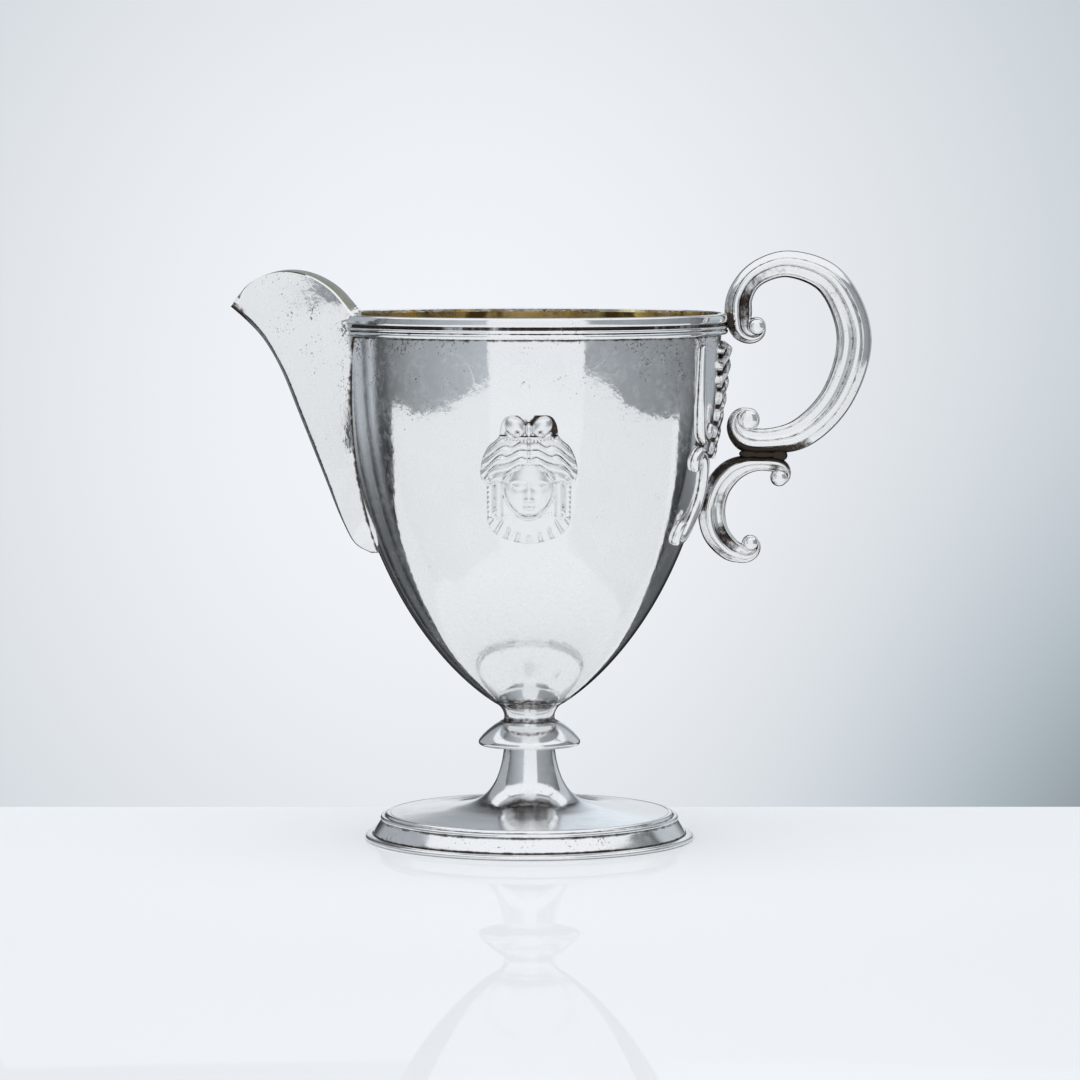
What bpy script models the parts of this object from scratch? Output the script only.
"""Footed silver cream jug, as the pieces a silversmith solders together."""
import math

import bmesh
import bpy
from mathutils import Vector

MM = 0.001

# Overall reach from the jug's upright axis
SPOUT_REACH = 81.2 * MM
HANDLE_REACH = 92.9 * MM
GAP = 0.3 * MM  # solder seam between neighbouring pieces
SEGMENTS = 36  # facets round a turned piece

# Bowl: an egg shape, upright at the rim
BOWL_RADIUS = 52.2 * MM
BOWL_RIM_Z = 143.2 * MM
BOWL_BASE_Z = 37.8 * MM
BOWL_WALL = 0.9 * MM
BOWL_CROWN_Z = 147.2 * MM
BOWL_CROWN_DEPTH = 114.2 * MM
BOWL_FULLNESS = 2.42
BOWL_TAPER = 1.445

# Rim moulding, as radius and height of its section
RIM_SECTION = (
    (53.6, 143.4), (54.1, 142.6), (53.9, 141.2), (53.2, 140.9), (53.2, 140.3), (53.8, 140.1),
    (54.0, 139.6), (53.5, 139.2), (53.9, 138.8), (54.0, 138.2), (53.4, 137.7), (52.5, 137.7), (52.5, 143.4),
)
RIM_END_ANGLE = math.radians(27.4)  # from the middle of the spout to the moulding's end

# Spout: a folded sheet between its keel and its two edges
SPOUT_WALL = 0.9 * MM
SPOUT_HALF_WIDTH = 23.7 * MM
SPOUT_FOOT_Z = 78.1 * MM
SPOUT_SPREAD = 0.6
SPOUT_KEEL = (
    (-80.4, 145.8), (-76.0, 141.9), (-71.3, 136.8), (-66.8, 129.2), (-61.6, 116.4),
    (-55.2, 100.3), (-49.8, 86.8), (-46.6, 81.2), (-42.6, 78.9),
)
SPOUT_LIP = (
    (-79.9, 146.4), (-76.8, 150.4), (-71.8, 153.6), (-65.5, 154.9), (-59.0, 153.8),
    (-52.6, 150.1), (-46.8, 143.6),
)
LIP_TIP_HALF_WIDTH = 2.2 * MM
KEEL_OF_CORNER = 2.25  # place along the keel that faces the corner of the lip
NOTCH_MARGIN = 1.3 * MM

# Turned pieces of the stem and foot, as radius and height
NECK_SECTION = (
    (0, 37.4), (9.7, 37.4), (8.3, 36.5), (7.4, 35.4), (6.9, 34.2), (6.8, 33.2), (7.1, 32.6), (0, 32.6),
)
KNOP_SECTION = (
    (0, 32.3), (7.3, 32.3), (8.6, 31.8), (10.3, 30.6), (11.9, 29.2), (13.2, 27.8), (13.9, 26.6),
    (13.7, 25.9), (13.0, 25.6), (0, 25.6),
)
STEM_LINE = (
    (6.9, 25.3), (7.1, 23.4), (7.5, 21.0), (8.3, 18.0), (9.5, 15.2), (11.4, 12.6), (14.6, 10.5),
    (20.0, 9.1), (28.0, 8.1), (37.9, 7.2),
)
STEM_WALL = 0.9 * MM
STEP_SECTION = (
    (38.2, 7.1), (38.7, 7.2), (39.3, 6.9), (39.5, 6.3), (40.1, 6.4), (40.6, 6.0), (40.6, 5.4), (38.2, 5.4),
)
BAND_SECTION = ((40.4, 5.1), (42.9, 1.5), (41.8, 1.5), (39.3, 5.1))
BASE_SECTION = ((44.3, 1.2), (44.9, 0.8), (44.9, 0.4), (44.4, 0.0), (41.0, 0.0), (41.0, 1.2))

# Handle: half thickness, moulded section from inner to outer edge, and the run of each scroll
HANDLE_HALF_THICK = 3.6 * MM
SCROLL_FACET = math.radians(14)
RIM_SEAT_RADIUS = 54.5 * MM
SCROLL_SECTION = (
    (-1.0, 0.42), (-0.55, 0.5), (-0.1, 0.54), (-0.04, 0.86), (0.2, 1.0), (0.4, 0.86), (0.46, 0.7),
    (0.72, 0.74), (0.92, 0.46),
)
UPPER_RUN = (
    (56.7, 143.2, 3.7), (57.0, 147.4, 3.5), (59.5, 152.1, 3.25), (63.8, 155.2, 3.4), (70.6, 156.6, 3.65),
    (81.5, 152.2, 4.2), (88.1, 137.5, 4.75), (83.6, 120.6, 4.45), (73.6, 110.6, 4.1), (64.2, 108.6, 3.4),
)
UPPER_TOP_VOLUTE = {"centre": (61.6, 139.8), "start": 190, "turn": 230, "outer": 7.3, "eye": 2.0}
UPPER_LOW_VOLUTE = {"centre": (59.4, 114.5), "start": 265, "turn": -240, "outer": 8.9, "eye": 2.5}
LOWER_RUN = (
    (62.6, 102.5, 2.0), (58.4, 102.0, 2.7), (54.6, 100.1, 3.3), (51.0, 95.7, 3.55),
    (49.4, 89.8, 3.7), (50.7, 83.5, 3.6), (54.6, 79.1, 3.1),
)
LOWER_TOP_VOLUTE = {"centre": (67.9, 98.7), "start": 100, "turn": -215, "outer": 5.6, "eye": 1.9}
LOWER_LOW_VOLUTE = {"centre": (60.1, 80.8), "start": 222, "turn": 225, "outer": 6.8, "eye": 1.8}

# Trim on the bowl, as distance across the surface from its middle line and height
STRAP_RUN = (
    (25.2, 135.6, 0.8), (25.1, 131.0, 1.1), (24.4, 124.0, 1.4), (23.0, 117.0, 1.7),
    (20.8, 111.9, 1.8), (17.2, 110.2, 1.7), (14.4, 111.6, 1.4), (14.3, 114.2, 1.0),
)
STRAP_LIFT = 1.6 * MM
BRACKET_RUN = (
    (18.2, 103.6, 0.9), (20.6, 102.7, 1.3), (22.0, 104.6, 1.5), (20.0, 106.6, 1.5), (16.2, 105.3, 1.6),
    (11.4, 99.6, 1.7), (9.4, 93.8, 1.8), (11.2, 88.0, 1.7), (15.0, 83.4, 1.6), (18.6, 83.4, 1.4),
    (18.7, 86.8, 1.2), (16.4, 87.4, 0.8),
)
BRACKET_LIFT = 1.9 * MM
LEAF_TOP_Z = 136.0 * MM
LEAF_TIP_Z = 104.0 * MM
LEAF_HALF_WIDTH = 10.5 * MM
LEAF_RIB = 3.2 * MM
LEAF_LOBES = 5

# Head ornament: rounded masses as centre across, centre up, half width, half height and relief
MASK_Z = 101.0 * MM
MASK_MASSES = (
    (0, 4.0, 13.0, 10.5, 2.0), (0, -3.5, 7.4, 10.0, 3.0), (-3.4, 13.6, 4.4, 3.6, 2.6),
    (3.4, 13.6, 4.4, 3.6, 2.6), (-9.4, -6.0, 2.8, 7.5, 1.7), (9.4, -6.0, 2.8, 7.5, 1.7),
    (0, -14.0, 8.6, 3.6, 1.8),
)
MASK_EDGE = 0.7  # thickness of the casting at its outline

JUG = "cream_jug"


def clear_scene():
    """Start from an empty file."""
    for thing in list(bpy.data.objects):
        bpy.data.objects.remove(thing)


def finish(name, colour, roughness):
    """Metal with its own colour and polish."""
    metal = bpy.data.materials.new(name)
    metal.use_nodes = True
    shader = metal.node_tree.nodes["Principled BSDF"]
    shader.inputs["Base Color"].default_value = (*colour, 1)
    shader.inputs["Roughness"].default_value = roughness
    shader.inputs["Metallic"].default_value = 1.0
    metal.diffuse_color = (*colour, 1)
    return metal


def collection(name):
    """New collection in the scene."""
    group = bpy.data.collections.new(name)
    bpy.context.scene.collection.children.link(group)
    return group


def add_part(name, mesh, metal):
    """Named piece that hangs on the jug's axis."""
    part = bpy.data.objects.new(name, mesh)
    mesh.materials.append(metal)
    PARTS.objects.link(part)
    part.parent = AXIS
    return part


def add_cutter(name, mesh):
    """Shape that is only used to cut or join."""
    cutter = bpy.data.objects.new(name, mesh)
    CUTTERS.objects.link(cutter)
    cutter.parent = AXIS
    cutter.hide_render = True
    cutter.display_type = "WIRE"
    return cutter


def boolean(part, cutter, operation):
    """Cut one shape with another, or join them."""
    cut = part.modifiers.new(cutter.name, "BOOLEAN")
    cut.solver = "EXACT"
    cut.operation = operation
    cut.object = cutter


def turned(name, profile, metal, closed=True):
    """Piece turned about the axis from (radius, height) pairs in millimetres."""
    count = len(profile)
    edges = [(i, i + 1) for i in range(count - 1)]
    if closed:
        edges.append((count - 1, 0))
    mesh = bpy.data.meshes.new(name)
    mesh.from_pydata([(r * MM, 0, z * MM) for r, z in profile], edges, [])
    part = add_part(name, mesh, metal)
    screw = part.modifiers.new("turn", "SCREW")
    screw.steps = SEGMENTS
    screw.render_steps = SEGMENTS
    screw.use_merge_vertices = True
    screw.merge_threshold = 0.00005
    return part


def loft(name, rings, metal):
    """Closed body through a row of rings with the same number of points."""
    bm = bmesh.new()
    rows = [[bm.verts.new(point) for point in ring] for ring in rings]
    for low, high in zip(rows, rows[1:]):
        for i, corner in enumerate(low):
            j = (i + 1) % len(low)
            bm.faces.new((corner, low[j], high[j], high[i]))
    bm.faces.new(rows[0])
    bm.faces.new(rows[-1])
    bmesh.ops.recalc_face_normals(bm, faces=bm.faces)
    mesh = bpy.data.meshes.new(name)
    bm.to_mesh(mesh)
    bm.free()
    return add_part(name, mesh, metal)


def smooth_line(points, steps):
    """Rounded line through all the points, with a number of steps between neighbours."""
    pts = [Vector(p) for p in points]
    pts = [2 * pts[0] - pts[1], *pts, 2 * pts[-1] - pts[-2]]
    line = []
    for a, b, c, d in zip(pts, pts[1:], pts[2:], pts[3:]):
        t1 = (b - a).length ** 0.5
        t2 = t1 + (c - b).length ** 0.5
        t3 = t2 + (d - c).length ** 0.5
        for i in range(steps):
            t = t1 + (t2 - t1) * i / steps
            p = a.lerp(b, t / t1)
            q = b.lerp(c, (t - t1) / (t2 - t1))
            r = c.lerp(d, (t - t2) / (t3 - t2))
            pq = p.lerp(q, t / t2)
            qr = q.lerp(r, (t - t1) / (t3 - t1))
            line.append(pq.lerp(qr, (t - t1) / (t2 - t1)))
    line.append(pts[-2].copy())
    return line


def facets(line, turn):
    """Only those points of a line where it has turned by an angle, and both of its ends."""
    kept = [line[0]]
    last = (line[1] - line[0]).xy
    for here, after in zip(line[1:], line[2:]):
        way = (after - here).xy
        if way.angle(last) > turn or (here - kept[-1]).xy.length > 8:
            kept.append(here)
            last = way
    return [*kept, line[-1]]


def along(line, place):
    """Point at a fractional place along a list of points."""
    i = min(int(place), len(line) - 2)
    return line[i].lerp(line[i + 1], place - i)


def bowl_radius(z):
    """Outer radius of the egg-shaped bowl at a height."""
    t = (BOWL_CROWN_Z - z) / BOWL_CROWN_DEPTH
    return BOWL_RADIUS * (1 - t**BOWL_FULLNESS) ** (1 / BOWL_TAPER)


def bowl_tilt(z):
    """Outward and upward parts of the bowl's surface direction at a height."""
    step = 0.1 * MM
    slope = (bowl_radius(z + step) - bowl_radius(z - step)) / (2 * step)
    return 1 / math.hypot(1, slope), -slope / math.hypot(1, slope)


def on_bowl(angle, z, lift):
    """Point at a distance outside the bowl's surface."""
    out, up = bowl_tilt(z)
    r = bowl_radius(z) + lift * out
    return Vector((r * math.cos(angle), r * math.sin(angle), z + lift * up))


def make_bowl(metal):
    """Shell turned in one piece, notched behind the spout."""
    rows = 12
    outer = []
    for i in range(rows + 1):
        turn = math.pi / 2 * i / rows
        outer.append(BOWL_BASE_Z + (BOWL_RIM_Z - BOWL_BASE_Z) * (1 - math.sin(turn) ** 1.15))
    profile = [(0, BOWL_BASE_Z + 1.3 * MM)]
    for z in reversed(outer[:-1]):
        out, up = bowl_tilt(z)
        height = BOWL_RIM_Z if z == outer[0] else z - BOWL_WALL * up
        profile.append((bowl_radius(z) - BOWL_WALL * out, height))
    profile += [(bowl_radius(z), z) for z in outer]
    profile.append((0, BOWL_BASE_Z))
    bowl = turned("bowl", [(r / MM, z / MM) for r, z in profile], metal, closed=False)
    boolean(bowl, make_notch(), "DIFFERENCE")


def spout_width(z):
    """Half width of the spout where it meets the bowl."""
    share = max(z - SPOUT_FOOT_Z, 0) / (BOWL_RIM_Z - SPOUT_FOOT_Z)
    return SPOUT_HALF_WIDTH * share**SPOUT_SPREAD


def make_notch():
    """Pointed opening behind the spout, drawn from the front and pushed through one wall."""
    heights = [SPOUT_FOOT_Z + d * MM for d in (4, 8, 14, 24, 38, 52, 64)]
    side = [(spout_width(z) - NOTCH_MARGIN, z) for z in heights]
    side.append((side[-1][0], BOWL_RIM_Z + 8 * MM))
    outline = [(y, z) for y, z in side] + [(-y, z) for y, z in reversed(side)]
    bm = bmesh.new()
    face = bm.faces.new([bm.verts.new((-75 * MM, y, z)) for y, z in outline])
    pushed = bmesh.ops.extrude_face_region(bm, geom=[face])["geom"]
    for corner in pushed:
        if isinstance(corner, bmesh.types.BMVert):
            corner.co.x = -25 * MM
    bmesh.ops.recalc_face_normals(bm, faces=bm.faces)
    mesh = bpy.data.meshes.new("spout_notch")
    bm.to_mesh(mesh)
    bm.free()
    return add_cutter("spout_notch", mesh)


def spout_edge(share, lip, corner):
    """Edge of the spout: first along the lip, then down the seam with the bowl."""
    if share <= corner:
        point = along(lip, share / corner * (len(lip) - 1))
        x, z = point.x * MM, point.y * MM
        run = (x - SPOUT_LIP[0][0] * MM) / ((SPOUT_LIP[-1][0] - SPOUT_LIP[0][0]) * MM)
        return Vector((x, LIP_TIP_HALF_WIDTH + (SPOUT_HALF_WIDTH - LIP_TIP_HALF_WIDTH) * run, z))
    down = (share - corner) / (1 - corner)
    z = BOWL_RIM_Z + (SPOUT_FOOT_Z + 0.8 * MM - BOWL_RIM_Z) * down
    y = spout_width(z)
    x = -math.sqrt((bowl_radius(z) + GAP + 0.05 * MM) ** 2 - y**2)
    return Vector((x, y, z))


def make_spout(metal):
    """Folded sheet: a grid whose middle column is the keel and whose sides are the two edges."""
    rows, columns = 24, 10
    keel = smooth_line([(x, z, 0) for x, z in SPOUT_KEEL], 6)
    lip = smooth_line([(x, z, 0) for x, z in SPOUT_LIP], 4)
    corner = KEEL_OF_CORNER / (len(SPOUT_KEEL) - 1)
    bm = bmesh.new()
    bmesh.ops.create_grid(bm, x_segments=columns, y_segments=rows, size=1)
    for vert in bm.verts:
        across, share = vert.co.x, (vert.co.y + 1) / 2
        fold = along(keel, share * (len(keel) - 1))
        edge = spout_edge(share, lip, corner)
        soft = 0.14 + 0.3 * (1 - share) ** 12
        lift = (math.hypot(across, soft) - soft) / (math.hypot(1, soft) - soft)
        x = fold.x * MM + (edge.x - fold.x * MM) * lift
        z = fold.y * MM + (edge.z - fold.y * MM) * lift
        vert.co = (x, edge.y * across, z)
    bmesh.ops.recalc_face_normals(bm, faces=bm.faces)
    if sum(face.normal.x for face in bm.faces) > 0:
        bmesh.ops.reverse_faces(bm, faces=bm.faces)
    mesh = bpy.data.meshes.new("spout")
    bm.to_mesh(mesh)
    bm.free()
    spout = add_part("spout", mesh, metal)
    sheet = spout.modifiers.new("sheet", "SOLIDIFY")
    sheet.thickness = SPOUT_WALL
    sheet.offset = 1.0


def make_rim(metal):
    """Moulding wire bent round the rim, from one side of the spout to the other."""
    rings = []
    for i in range(SEGMENTS + 1):
        angle = -math.pi + RIM_END_ANGLE + (2 * math.pi - 2 * RIM_END_ANGLE) * i / SEGMENTS
        turn = Vector((math.cos(angle), math.sin(angle), 0))
        rings.append([turn * r * MM + Vector((0, 0, z * MM)) for r, z in RIM_SECTION])
    loft("rim_moulding", rings, metal)


def make_stem(metal):
    """Hollow trumpet that runs out into the foot plate, open below."""
    line = [Vector(p) for p in STEM_LINE]
    under = []
    for i, point in enumerate(line):
        way = (line[min(i + 1, len(line) - 1)] - line[max(i - 1, 0)]).normalized()
        inward = Vector((way.y, -way.x)) * (STEM_WALL / MM)
        under.append((point.x + inward.x, point.y + inward.y))
    under[0] = (under[0][0], line[0].y)
    under[-1] = (line[-1].x, under[-1][1])
    turned("trumpet_stem", [tuple(p) for p in line] + under[::-1], metal)


def volute(centre, start, turn, outer, eye):
    """Scroll end that winds in to its eye, as (x, z, half width) in millimetres."""
    points = []
    for i in range(10):
        share = i / 9
        angle = math.radians(start + turn * share)
        reach = 1.06 * eye + (outer - 1.06 * eye) * (1 - share) ** 2
        inner = 0.78 * eye
        middle = (reach + inner) / 2
        points.append(
            (centre[0] + middle * math.cos(angle), centre[1] + middle * math.sin(angle), (reach - inner) / 2)
        )
    return points


def make_scroll(name, first, run, last, metal):
    """Cast scroll: a moulded section carried along its run and wound in at both ends."""
    line = facets(smooth_line(volute(**first)[::-1] + list(run) + volute(**last), 8), SCROLL_FACET)
    widest = max(point.z for point in line)
    side = 1 if name == "handle_upper_scroll" else -1
    rings = []
    for i, point in enumerate(line):
        way = line[min(i + 1, len(line) - 1)] - line[max(i - 1, 0)]
        outward = Vector((-way.y, 0, way.x)).normalized() * side
        centre = Vector((point.x, 0, point.y)) * MM
        thick = HANDLE_HALF_THICK * (0.35 + 0.65 * (point.z / widest) ** 0.6)
        half = [(u * point.z * MM, v * thick) for u, v in SCROLL_SECTION]
        ring = half + [(point.z * MM, 0)] + [(u, -v) for u, v in reversed(half)]
        rings.append([centre + outward * u + Vector((0, v, 0)) for u, v in ring])
    scroll = loft(name, rings, metal)
    if name == "handle_upper_scroll":
        boolean(scroll, make_rim_seat(), "DIFFERENCE")
    for end, place in (("first", first), ("last", last)):
        boolean(scroll, make_eye(f"{name}_{end}_eye", place), "UNION")


def make_rim_seat():
    """Round seat filed into the scroll where it lies against the rim."""
    bm = bmesh.new()
    low, high = BOWL_RIM_Z - 6 * MM, BOWL_RIM_Z + 0.5 * MM
    bmesh.ops.create_cone(
        bm, cap_ends=True, segments=96, radius1=RIM_SEAT_RADIUS, radius2=RIM_SEAT_RADIUS, depth=high - low
    )
    mesh = bpy.data.meshes.new("rim_seat")
    bm.to_mesh(mesh)
    bm.free()
    seat = add_cutter("rim_seat", mesh)
    seat.location.z = (low + high) / 2
    return seat


def make_eye(name, place):
    """Round boss in the middle of a volute."""
    bm = bmesh.new()
    depth = HANDLE_HALF_THICK * 1.5
    bmesh.ops.create_cone(
        bm, cap_ends=True, segments=14, radius1=place["eye"] * MM, radius2=place["eye"] * MM, depth=depth
    )
    mesh = bpy.data.meshes.new(name)
    bm.to_mesh(mesh)
    bm.free()
    eye = add_cutter(name, mesh)
    eye.location = (place["centre"][0] * MM, 0, place["centre"][1] * MM)
    eye.rotation_euler = (math.pi / 2, 0, 0)
    return eye


def make_surface_scroll(name, run, lift, side, metal):
    """Half-round bar that lies on the bowl and follows a line drawn on its surface."""
    line = smooth_line(run, 2)
    rings = []
    for i, point in enumerate(line):
        way = line[min(i + 1, len(line) - 1)] - line[max(i - 1, 0)]
        cross = Vector((-way.y, way.x)).normalized()
        ring = []
        for u, h in ((-1, 0), (-0.95, 0.5), (-0.6, 0.9), (0, 1), (0.6, 0.9), (0.95, 0.5), (1, 0)):
            a = (point.x + cross.x * u * point.z) * MM
            z = (point.y + cross.y * u * point.z) * MM
            height = GAP + h * lift * (0.5 + 0.3 * point.z)
            ring.append(on_bowl(side * a / bowl_radius(z), z, height))
        rings.append(ring)
    loft(name, rings, metal)


def relief(name, middle, top, bottom, columns, rows, half_width, height, metal):
    """Casting that hugs the bowl: a grid laid on the surface and raised to its relief."""
    bm = bmesh.new()
    bmesh.ops.create_grid(bm, x_segments=columns, y_segments=rows, size=1)
    spots = {vert: (vert.co.x, (1 - vert.co.y) / 2) for vert in bm.verts}
    raised = bmesh.ops.extrude_face_region(bm, geom=list(bm.faces))["geom"]
    fronts = [item for item in raised if isinstance(item, bmesh.types.BMVert)]
    for vert in fronts:
        spots[vert] = (vert.co.x, (1 - vert.co.y) / 2)
    for vert, (across, down) in spots.items():
        z = top + (bottom - top) * down
        a = across * half_width(down)
        lift = GAP
        if vert in fronts:
            lift += height(across, down, a, z)
        vert.co = on_bowl(middle + a / bowl_radius(z), z, lift)
    bmesh.ops.recalc_face_normals(bm, faces=bm.faces)
    mesh = bpy.data.meshes.new(name)
    bm.to_mesh(mesh)
    bm.free()
    return add_part(name, mesh, metal)


def make_leaf(metal):
    """Lobed leaf with a raised middle rib, hanging under the handle's upper joint."""

    def half_width(down):
        body = (0.62 + 0.38 * math.sin(math.pi * min(down * 2.2, 1))) * (1 - 0.86 * down**1.6)
        return LEAF_HALF_WIDTH * body * (0.9 + 0.1 * math.cos(2 * math.pi * LEAF_LOBES * down))

    def height(across, down, a, z):
        rib = LEAF_RIB * (1 - 0.45 * down)
        return rib * (1 - 0.62 * abs(across) ** 1.3)

    relief("leaf_pendant", 0, LEAF_TOP_Z, LEAF_TIP_Z, 8, 22, half_width, height, metal)


def make_mask(metal):
    """Applied head ornament, as its main rounded masses."""
    top = max(up + tall for _, up, _, tall, _ in MASK_MASSES) - 0.3
    bottom = min(up - tall for _, up, _, tall, _ in MASK_MASSES) + 0.3

    def half_width(down):
        y = top + (bottom - top) * down
        reach = [
            abs(x) + wide * math.sqrt(1 - ((y - up) / tall) ** 2)
            for x, up, wide, tall, _ in MASK_MASSES
            if abs(y - up) < tall
        ]
        return max(reach) * MM

    def height(across, down, a, z):
        y = (z - MASK_Z) / MM
        heights = [0]
        for x, up, wide, tall, rise in MASK_MASSES:
            inside = 1 - ((a / MM - x) / wide) ** 2 - ((y - up) / tall) ** 2
            heights.append(rise * math.sqrt(max(inside, 0)))
        return (MASK_EDGE + max(heights)) * MM

    relief(
        "mask", -math.pi / 2, MASK_Z + top * MM, MASK_Z + bottom * MM, 16, 20, half_width, height, metal
    )


clear_scene()
PARTS = collection(JUG)
CUTTERS = collection("cutters")
AXIS = bpy.data.objects.new(f"{JUG}_axis", None)
PARTS.objects.link(AXIS)
AXIS.location.x = (SPOUT_REACH - HANDLE_REACH) / 2

silver = finish("polished_silver", (0.9, 0.89, 0.87), 0.16)
cast = finish("cast_silver", (0.88, 0.87, 0.85), 0.22)

make_bowl(silver)
make_spout(silver)
make_rim(silver)
turned("neck_collar", NECK_SECTION, silver, closed=False)
turned("knop_disc", KNOP_SECTION, silver, closed=False)
make_stem(silver)
turned("foot_step_ring", STEP_SECTION, silver)
turned("foot_band", BAND_SECTION, silver)
turned("foot_base_wire", BASE_SECTION, silver)
make_scroll("handle_upper_scroll", UPPER_TOP_VOLUTE, UPPER_RUN, UPPER_LOW_VOLUTE, cast)
make_scroll("handle_lower_scroll", LOWER_TOP_VOLUTE, LOWER_RUN, LOWER_LOW_VOLUTE, cast)
make_leaf(cast)
for place, hand in (("near", -1), ("far", 1)):
    make_surface_scroll(f"strap_scroll_{place}", STRAP_RUN, STRAP_LIFT, hand, cast)
    make_surface_scroll(f"bracket_scroll_{place}", BRACKET_RUN, BRACKET_LIFT, hand, cast)
make_mask(cast)
